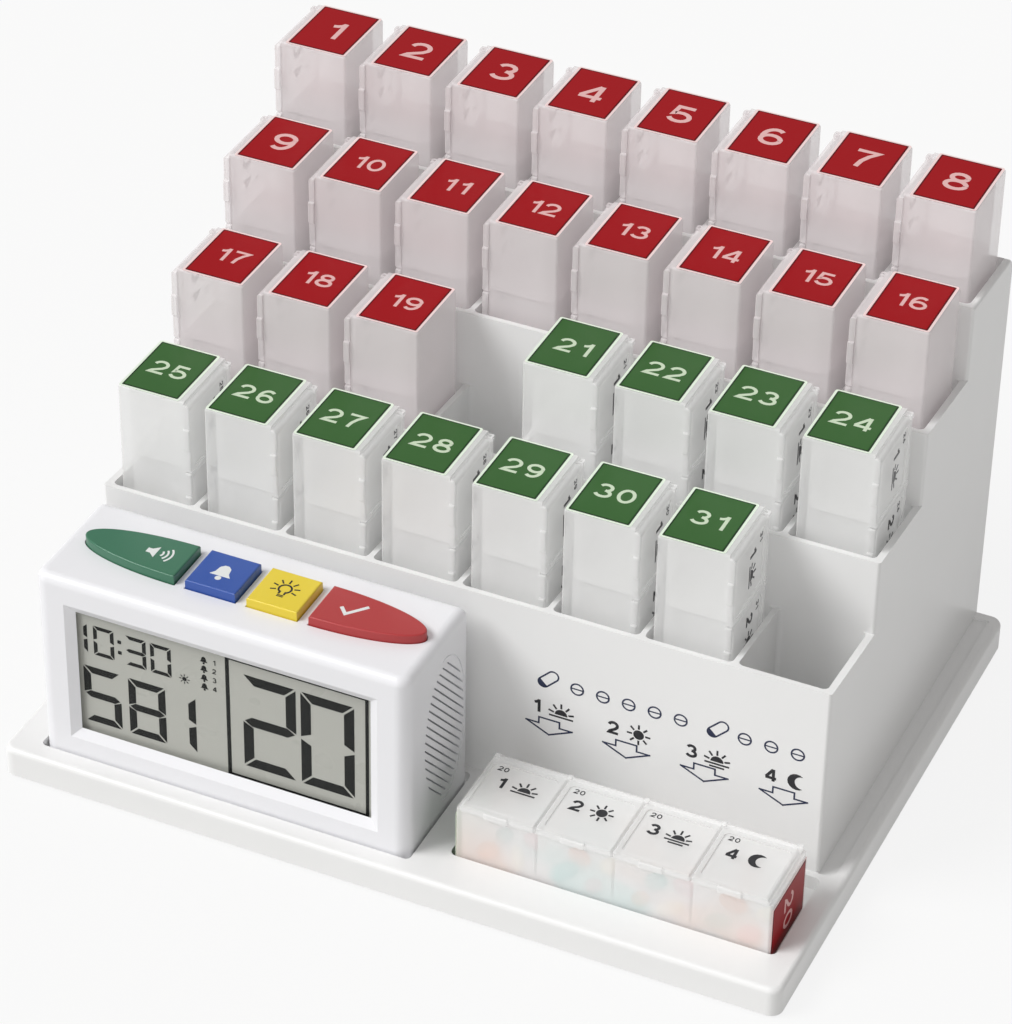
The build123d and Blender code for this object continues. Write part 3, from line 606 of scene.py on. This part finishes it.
def add_lid_print(sheet, day, dose, shift):
    """Day number near the hinge, dose figure and pictogram in the middle."""
    place = shift @ Matrix.Translation((-8.2, 8.3, 0.0))
    sheet.add(figures(str(day), day_figure_size, 1.1, 0.17, print_low, print_high), print_mark, place)
    place = shift @ Matrix.Translation((-6.2, 1.4, 0.0))
    sheet.add(figures(str(dose), dose_figure_size, 1.1, 0.2, print_low, print_high), print_mark, place)
    for shape in dose_symbol(dose, print_low, print_high):
        sheet.add(shape, print_mark, shift @ Matrix.Translation((3.0, 1.4, 0.0)))


box_slots = label_slots + [ink]
print("pictograms", [len(dose_symbol(dose, print_low, print_high)) for dose in (1, 2, 3, 4)])

# %% [markdown]
# A box is drawn once, lying with its lids up, and a matrix puts its marks in place. The
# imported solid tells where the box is: a box that stands with its red end up has turned a
# quarter turn one way, and one with its green end up the other way.


# %% Marks on every box
def columns(across, upward, outward, origin):
    """Matrix whose sheet runs along the given directions."""
    turn = Matrix((across, upward, outward)).transposed().to_4x4()
    return Matrix.Translation(origin) @ turn


lid_top = 28.0
cell_pitch = (box_length - 2 * 1.6 + 1.2) / 4
end_places = {
    True: columns((0, 0, -1), (0, 1, 0), (1, 0, 0), (box_length / 2, 0, label_middle)),
    False: columns((0, 0, 1), (0, 1, 0), (-1, 0, 0), (-box_length / 2, 0, label_middle)),
}


def box_place(node, red_up=None):
    """Matrix from a lying box to its place in the model, in millimetres."""
    low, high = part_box(node)
    low, high = low / mm, high / mm
    side = high.y - box_width / 2
    if red_up is None:
        return Matrix.Translation(((low.x + high.x) / 2, side, low.z))
    turn = Matrix.Rotation(math.radians(-90 if red_up else 90), 4, "Y")
    return Matrix.Translation((high.x if red_up else low.x, side, (low.z + high.z) / 2)) @ turn


for day in range(1, 32):
    if day == 20:
        continue
    red_up = day < 20
    node = f"day_box_{day:02d}"
    sheet = Sheet(box_place(node, red_up))
    for red, place in end_places.items():
        label = Sheet(sheet.place @ place)
        add_label(label, day, red)
        sheet.join(label)
    for dose in (1, 2, 3, 4):
        add_lid_print(sheet, day, dose, Matrix.Translation(((dose - 2.5) * cell_pitch, 0, lid_top)))
    sheet.piece(f"marks_{day:02d}", box_slots, node, "frosted_plastic")

tray_place = box_place("today_tray")
sheet = Sheet(tray_place)
for red, place in end_places.items():
    label = Sheet(tray_place @ place)
    add_label(label, 20, red)
    sheet.join(label)
sheet.piece("marks_20", box_slots, "today_tray", "frosted_plastic")
for dose in (1, 2, 3, 4):
    sheet = Sheet(tray_place)
    add_lid_print(sheet, 20, dose, Matrix.Translation(((dose - 2.5) * cell_pitch, 0, lid_top)))
    sheet.piece(f"lid_marks_{dose}", box_slots, f"today_lid_{dose}", "frosted_plastic")
print("marks made for 31 boxes")

# %% [markdown]
# The display is a liquid crystal glass: dark bars on grey-green. Each figure is made of
# mitred bars with thin gaps. The time is small at the top left, a bigger number stands below
# it, and the large day of the month fills the right half inside a dark frame line.

# %% Display figures
BARS = {
    "0": "abcdef", "1": "bc", "2": "abged", "3": "abgcd", "5": "afgcd", "8": "abcdefg",
}


def bar_outlines(width, height, thick, gap):
    """The seven bars of a figure, as outlines from its lower left corner."""
    w, h, t, g = width, height, thick, gap
    m = h / 2
    return {
        "a": [(g, h), (t + g, h - t), (w - t - g, h - t), (w - g, h)],
        "b": [(w, h - g), (w - t, h - t - g), (w - t, m + t / 2 + g), (w, m + g)],
        "c": [(w, m - g), (w - t, m - t / 2 - g), (w - t, t + g), (w, g)],
        "d": [(g, 0), (w - g, 0), (w - t - g, t), (t + g, t)],
        "e": [(0, g), (t, t + g), (t, m - t / 2 - g), (0, m - g)],
        "f": [(0, m + g), (t, m + t / 2 + g), (t, h - t - g), (0, h - g)],
        "g": [
            (g, m), (t * 0.7 + g, m - t / 2), (w - t * 0.7 - g, m - t / 2),
            (w - g, m), (w - t * 0.7 - g, m + t / 2), (t * 0.7 + g, m + t / 2),
        ],
    }


def counter_clockwise(outline):
    area = sum(ax * by - bx * ay for (ax, ay), (bx, by) in zip(outline, outline[1:] + outline[:1]))
    return outline if area > 0 else outline[::-1]


def add_figure(sheet, sign, x, z, width, height, thick, gap):
    outlines = bar_outlines(width, height, thick, gap)
    for name in BARS[sign]:
        outline = moved(counter_clockwise(outlines[name]), x, z)
        sheet.add(prism(outline, 0.0, bar_height), 0)


bar_height = 0.05
time_places = (("1", -125.4), ("0", -114.9), ("3", -102.3), ("0", -92.5))
number_places = (("5", -119.6), ("8", -101.9), ("1", -90.0))
day_places = (("2", -56.8), ("0", -34.6))
colon_heights = (60.8, 65.4)
panel_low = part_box("lcd_panel")[0]
glass_front = panel_low.y / mm
sheet = Sheet(columns((1, 0, 0), (0, 0, 1), (0, -1, 0), (0, glass_front, 0)))
for sign, x in time_places:
    add_figure(sheet, sign, x, 56.6, 8.1, 12.7, 1.5, 0.28)
for z in colon_heights:
    sheet.add(prism(moved(rounded(1.5, 1.5, 0.3), -104.6, z), 0.0, bar_height), 0)
for sign, x in number_places:
    add_figure(sheet, sign, x, 26.4, 14.6, 24.4, 2.9, 0.45)
for sign, x in day_places:
    add_figure(sheet, sign, x, 27.9, 20.4, 40.0, 3.9, 0.55)
line_bars = [
    (-62.6, 47.5, 1.5, 51.6), (-35.7, 73.1, 53.0, 1.3), (-9.4, 47.5, 1.3, 51.6),
    (-35.7, 22.1, 53.0, 1.3),
]
for x, z, width, tall in line_bars:
    sheet.add(prism(moved(rounded(width, tall, 0.1, 1), x, z), 0.0, bar_height * 1.2), 0)
bell = [
    (-1.5, -1.0), (1.5, -1.0), (1.0, -0.3), (0.8, 0.8), (0.3, 1.3),
    (-0.3, 1.3), (-0.8, 0.8), (-1.0, -0.3),
]
for index, z in enumerate((68.9, 65.1, 61.2, 57.4)):
    place = Matrix.Translation((-71.6, z, 0))
    sheet.add(prism(bell, 0.0, bar_height), 0, place)
    sheet.add(prism(moved(disc(0.45, 8), 0, -1.5), 0.0, bar_height), 0, place)
    place = Matrix.Translation((-67.6, z, 0))
    sheet.add(figures(str(index + 1), 2.1, 1.0, 0.18, 0.0, bar_height), 0, place)
small_sun = [prism(disc(0.9, 12), 0.0, bar_height)] + rays(1.3, 1.9, 0.35, 0, 315, 8, 0.0, bar_height)
for shape in small_sun:
    sheet.add(shape, 0, Matrix.Translation((-79.4, 57.9, 0)))
bar_ink = grained("display_bars", (0.015, 0.016, 0.015), 0.35, Specular_IOR_Level=0.15)
sheet.piece("display_figures", [bar_ink], "clock_unit", "display_glass")
print("display figures made")

# %% [markdown]
# The rack's front wall tells where the box of the day goes. Four hollow arrows point down at
# the four compartments, each under its dose pictogram, and a row of small pill shapes stands
# above them. Both rows repeat one shape along a line, which is a job for Geometry Nodes: a
# tree places instances on a line of points, realizes them and sets the material.


# %% Row of repeated shapes
def repeated_row(name, shape_object, finish, start, pitch, count):
    """Mesh of one shape repeated along X, made by a Geometry Nodes tree."""
    tree = bpy.data.node_groups.new(name, "GeometryNodeTree")
    side = tree.interface
    side.new_socket("Shape", in_out="INPUT", socket_type="NodeSocketObject")
    side.new_socket("Start", in_out="INPUT", socket_type="NodeSocketVector")
    side.new_socket("Pitch", in_out="INPUT", socket_type="NodeSocketVector")
    side.new_socket("Count", in_out="INPUT", socket_type="NodeSocketInt")
    side.new_socket("Finish", in_out="INPUT", socket_type="NodeSocketMaterial")
    side.new_socket("Geometry", in_out="OUTPUT", socket_type="NodeSocketGeometry")
    source = tree.nodes.new("NodeGroupInput")
    result = tree.nodes.new("NodeGroupOutput")
    line = tree.nodes.new("GeometryNodeMeshLine")
    info = tree.nodes.new("GeometryNodeObjectInfo")
    spread = tree.nodes.new("GeometryNodeInstanceOnPoints")
    realize = tree.nodes.new("GeometryNodeRealizeInstances")
    paint = tree.nodes.new("GeometryNodeSetMaterial")
    link = tree.links.new
    link(source.outputs["Start"], line.inputs["Start Location"])
    link(source.outputs["Pitch"], line.inputs["Offset"])
    link(source.outputs["Count"], line.inputs["Count"])
    link(source.outputs["Shape"], info.inputs["Object"])
    link(line.outputs["Mesh"], spread.inputs["Points"])
    link(info.outputs["Geometry"], spread.inputs["Instance"])
    link(spread.outputs["Instances"], realize.inputs["Geometry"])
    link(realize.outputs["Geometry"], paint.inputs["Geometry"])
    link(source.outputs["Finish"], paint.inputs["Material"])
    link(paint.outputs["Geometry"], result.inputs["Geometry"])
    holder = bpy.data.objects.new(name, bpy.data.meshes.new(name))
    scene.collection.objects.link(holder)
    modifier = holder.modifiers.new("row", "NODES")
    modifier.node_group = tree
    keys = {item.name: item.identifier for item in side.items_tree if item.in_out == "INPUT"}
    modifier[keys["Shape"]] = shape_object
    modifier[keys["Start"]] = start
    modifier[keys["Pitch"]] = pitch
    modifier[keys["Count"]] = count
    modifier[keys["Finish"]] = finish.material
    bpy.context.view_layer.update()
    graph = bpy.context.evaluated_depsgraph_get()
    mesh = bpy.data.meshes.new_from_object(holder.evaluated_get(graph))
    holder.modifiers.clear()
    holder.data = mesh
    print(name, len(mesh.polygons), "faces from", count, "copies")
    return holder


def loose_shape(name, shapes, place):
    """One template object that a row repeats; it is removed afterwards."""
    sheet = Sheet(place)
    for shape in shapes:
        sheet.add(shape, 0)
    mesh = bpy.data.meshes.new(name)
    mesh.from_pydata([tuple(point * mm) for point in sheet.points], [], sheet.faces)
    made = bpy.data.objects.new(name, mesh)
    scene.collection.objects.link(made)
    return made


# %% Marks on the rack's front wall
rack_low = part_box("pill_rack")[0]
wall_front = rack_low.y / mm
wall_sheet = columns((1, 0, 0), (0, 0, 1), (0, -1, 0), (0, wall_front, 0))
arrow_pitch = 29.0
arrow_start = 36.1
arrow_edge = [
    (-8.7, 41.7), (-3.9, 41.7), (-3.9, 44.3), (3.9, 44.3), (3.9, 41.7), (8.7, 41.7),
    (0.0, 37.6), (-8.7, 41.7),
]
arrow = loose_shape("arrow", [stroke(arrow_edge, 0.6, print_low, print_high)], wall_sheet)
arrows = repeated_row(
    "wall_arrows", arrow, navy_ink, (arrow_start * mm, 0, 0), (arrow_pitch * mm, 0, 0), 4,
)
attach(arrows, "organizer")
bpy.data.objects.remove(arrow)

tablet_edge = disc(2.6, 24)
tablet_core = disc(2.0, 24)
tablet_shapes = [
    band(tablet_edge, tablet_core, print_low, print_high),
    stroke([(-1.9, 0), (1.9, 0)], 0.5, print_low, print_high),
]
tablet = loose_shape("tablet", tablet_shapes, wall_sheet @ Matrix.Translation((0, 61.0, 0)))
tablets = repeated_row("wall_tablets", tablet, navy_ink, (46.2 * mm, 0, 0), (9.6 * mm, 0, 0), 5)
tablets_right = repeated_row(
    "wall_tablets_right", tablet, navy_ink, (108.0 * mm, 0, 0), (9.6 * mm, 0, 0), 3,
)
for row in (tablets, tablets_right):
    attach(row, "organizer")
bpy.data.objects.remove(tablet)

sheet = Sheet(wall_sheet)
for x in (35.4, 98.2):
    place = Matrix.Translation((x, 61.8, 0)) @ Matrix.Rotation(math.radians(45), 4, "Z")
    outer = rounded(9.6, 4.6, 2.3, 8)
    inner = rounded(8.4, 3.4, 1.7, 8)
    sheet.add(band(outer, inner, print_low, print_high), 0, place)
    half = [(px, py) for px, py in rounded(8.6, 3.6, 1.8, 8) if px <= 0]
    sheet.add(prism(counter_clockwise(half), print_low, print_high), 0, place)
for index in range(4):
    x = arrow_start + index * arrow_pitch
    dose = index + 1
    place = Matrix.Translation((x - 5.0, 49.2, 0))
    sheet.add(figures(str(dose), dose_figure_size, 1.1, 0.2, print_low, print_high), 1, place)
    for shape in dose_symbol(dose, print_low, print_high):
        sheet.add(shape, 1, Matrix.Translation((x + 4.4, 49.2, 0)))
sheet.piece("wall_pictograms", [navy_ink, ink], "organizer", "white_plastic")

# %% [markdown]
# The buttons are marked with pictograms in place of words: a loudspeaker on green, a bell on
# blue, a lamp on yellow and a check mark on red. They ride on their own buttons.

# %% Marks on the buttons
white_ink = grained("white_print", (0.78, 0.8, 0.79), 0.4)


def button_sheet(node, dx, size):
    low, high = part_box(node)
    low, high = low / mm, high / mm
    place = Matrix.Translation(((low.x + high.x) / 2 + dx, (low.y + high.y) / 2, high.z))
    return Sheet(place @ Matrix.Scale(size, 4, (1, 0, 0)) @ Matrix.Scale(size, 4, (0, 1, 0)))


low = print_low
high = 0.07
sheet = button_sheet("talk_button", 8.5, 1.2)
horn = [(-3.6, -1.0), (-2.2, -1.0), (-0.4, -2.6), (-0.4, 2.6), (-2.2, 1.0), (-3.6, 1.0)]
sheet.add(prism(horn, low, high), 0)
for radius in (1.6, 3.0, 4.4):
    sheet.add(ribbon(arc(radius, -42, 42), 0.6, low, high), 0)
sheet.piece("talk_mark", [white_ink], "talk_button", "green_plastic")

sheet = button_sheet("check_button", 0.0, 2.6)
sheet.add(prism(bell, low, high), 0)
sheet.add(prism(moved(disc(0.45, 10), 0, -1.5), low, high), 0)
sheet.piece("check_mark", [white_ink], "check_button", "blue_plastic")

sheet = button_sheet("light_button", 0.0, 1.15)
bulb = [(0.9, -2.4), (0.9, -1.6), *arc(2.0, -50, 230, 14), (-0.9, -1.6), (-0.9, -2.4)]
bulb_shape = [(x, y + 0.4 if abs(y) < 2.3 else y) for x, y in bulb]
sheet.add(ribbon(bulb_shape, 0.6, low, high), 0)
for z in (-2.9, -3.5):
    sheet.add(stroke([(-0.9, z), (0.9, z)], 0.35, low, high), 0)
for points, faces in rays(3.0, 4.3, 0.5, -20, 200, 7, low, high):
    sheet.add(([(x, y + 0.4, z) for x, y, z in points], faces), 0)
sheet.piece("light_mark", [ink], "light_button", "yellow_plastic")

sheet = button_sheet("confirm_button", -8.0, 1.2)
sheet.add(ribbon([(-3.4, 0.0), (-1.0, -2.6), (3.8, 3.0)], 1.1, low, high), 0)
sheet.piece("confirm_mark", [white_ink], "confirm_button", "red_plastic")
print("button marks made")

# %% [markdown]
# The box of the day holds the pills of its four doses. They lie on the floor of each
# compartment and show as faint colours through the frosted wall. Tablets are squashed
# spheres and capsules are stretched ones, turned at random from a fixed seed.

# %% Pills
pill_finishes = [
    grained("pill_orange", (0.75, 0.24, 0.06), 0.45),
    grained("pill_cream", (0.8, 0.72, 0.5), 0.5),
    grained("pill_teal", (0.1, 0.45, 0.42), 0.45),
    grained("pill_pink", (0.75, 0.3, 0.34), 0.5),
]


def pill_shape(length, width, height, steps=20, rings=10):
    """Closed rounded pill, centred, poles closed."""
    points = [(0.0, 0.0, -height / 2)]
    for ring in range(1, rings):
        lift = math.pi * (ring / rings - 0.5)
        reach = math.cos(lift) ** 0.6
        for step in range(steps):
            turn = 2 * math.pi * step / steps
            x = length / 2 * reach * math.cos(turn)
            y = width / 2 * reach * math.sin(turn)
            points.append((x, y, height / 2 * math.sin(lift)))
    points.append((0.0, 0.0, height / 2))
    faces = [[0, 1 + (step + 1) % steps, 1 + step] for step in range(steps)]
    for ring in range(rings - 2):
        base = 1 + ring * steps
        for step in range(steps):
            after = (step + 1) % steps
            faces.append([base + step, base + after, base + steps + after, base + steps + step])
    last = 1 + (rings - 2) * steps
    top = len(points) - 1
    faces += [[last + step, last + (step + 1) % steps, top] for step in range(steps)]
    return points, faces


draw = random.Random(20)
pill_spots = [(-7.0, -6.5), (4.5, -7.5), (-5.5, 3.5), (6.0, 4.0)]
pill_kinds = [(10.0, 10.0, 3.6), (14.0, 6.0, 6.0), (8.0, 8.0, 3.2), (12.0, 6.5, 4.6)]
box_floor = 1.4
sheet = Sheet(tray_place)
for cell in range(4):
    for spot, (dx, dy) in enumerate(pill_spots):
        kind = (spot + cell) % 4
        length, width, tall = pill_kinds[kind]
        turn = Matrix.Rotation(draw.uniform(0, math.pi), 4, "Z")
        place = Matrix.Translation(((cell - 1.5) * cell_pitch + dx, dy, box_floor + tall / 2 + 0.1))
        sheet.add(pill_shape(length * 0.8, width * 0.8, tall), (kind + cell) % 4, place @ turn)
pills = sheet.piece("pills", pill_finishes, "today_tray", "frosted_plastic")
for face in pills.data.polygons:
    face.use_smooth = True
print("pills", len(pill_spots) * 4)

# %% [markdown]
# A pale floor and plain light finish the studio. The floor is white to the camera and in
# reflections, and one part in seven of it still answers to light, so it keeps a soft shadow.
# The world is white to the camera alone, and lights the object at less than half of that. One
# broad sun from high at the left front does the rest, so tops are the brightest and the right
# side stays in shade. A weak second sun from the front casts no shadow: it opens up the deep
# slots between the boxes, as a reflector card would.

# %% Floor, world and light
floor_finish = Finish("studio_floor", (0.66, 0.66, 0.65), 0.9)
glow = floor_finish.tree.nodes.new("ShaderNodeEmission")
mixer = floor_finish.tree.nodes.new("ShaderNodeMixShader")
paths = floor_finish.tree.nodes.new("ShaderNodeLightPath")
camera_ray = Term(floor_finish, paths.outputs["Is Camera Ray"])
glossy_ray = Term(floor_finish, paths.outputs["Is Glossy Ray"])
through_ray = Term(floor_finish, paths.outputs["Is Transmission Ray"])
white_share = 0.86
share = (camera_ray + glossy_ray + through_ray) * white_share
link = floor_finish.tree.links.new
link(share.socket, mixer.inputs[0])
link(floor_finish.shader.outputs["BSDF"], mixer.inputs[1])
link(glow.outputs["Emission"], mixer.inputs[2])
floor_output = next(n for n in floor_finish.tree.nodes if n.type == "OUTPUT_MATERIAL")
link(mixer.outputs["Shader"], floor_output.inputs["Surface"])
reach = 6.0
floor_mesh = bpy.data.meshes.new("studio_floor")
floor_mesh.from_pydata(
    [(-reach, -reach, 0), (reach, -reach, 0), (reach, reach, 0), (-reach, reach, 0)], [], [(0, 1, 2, 3)],
)
floor_mesh.materials.append(floor_finish.material)
floor = bpy.data.objects.new("studio_floor", floor_mesh)
scene.collection.objects.link(floor)

world = bpy.data.worlds.new("studio_world")
scene.world = world
world.use_nodes = True
sky = world.node_tree
sky.nodes.clear()
sky_output = sky.nodes.new("ShaderNodeOutputWorld")
sky_light = sky.nodes.new("ShaderNodeBackground")
sky_seen = sky.nodes.new("ShaderNodeBackground")
sky_paths = sky.nodes.new("ShaderNodeLightPath")
sky_mixer = sky.nodes.new("ShaderNodeMixShader")
sky_light.inputs["Color"].default_value = (1.0, 0.985, 0.975, 1.0)
sky_light.inputs["Strength"].default_value = 0.42
sky_seen.inputs["Strength"].default_value = 1.0
sky_seen.inputs["Color"].default_value = (1.0, 1.0, 1.0, 1.0)
sky.links.new(sky_paths.outputs["Is Camera Ray"], sky_mixer.inputs[0])
sky.links.new(sky_light.outputs[0], sky_mixer.inputs[1])
sky.links.new(sky_seen.outputs[0], sky_mixer.inputs[2])
sky.links.new(sky_mixer.outputs[0], sky_output.inputs["Surface"])


def add_sun(name, energy, angle, comes_from, shadow):
    data = bpy.data.lights.new(name, "SUN")
    data.energy = energy
    data.angle = angle
    data.use_shadow = shadow
    sun = bpy.data.objects.new(name, data)
    sun.rotation_mode = "QUATERNION"
    sun.rotation_quaternion = Vector(comes_from).to_track_quat("Z", "Y")
    scene.collection.objects.link(sun)


add_sun("broad_sun", 2.25, 0.5, (-0.5, -0.38, 0.66), True)
add_sun("front_fill", 0.32, 0.5, (-0.1, -0.9, 0.35), False)
scene.view_settings.view_transform = "Standard"
print("studio ready")
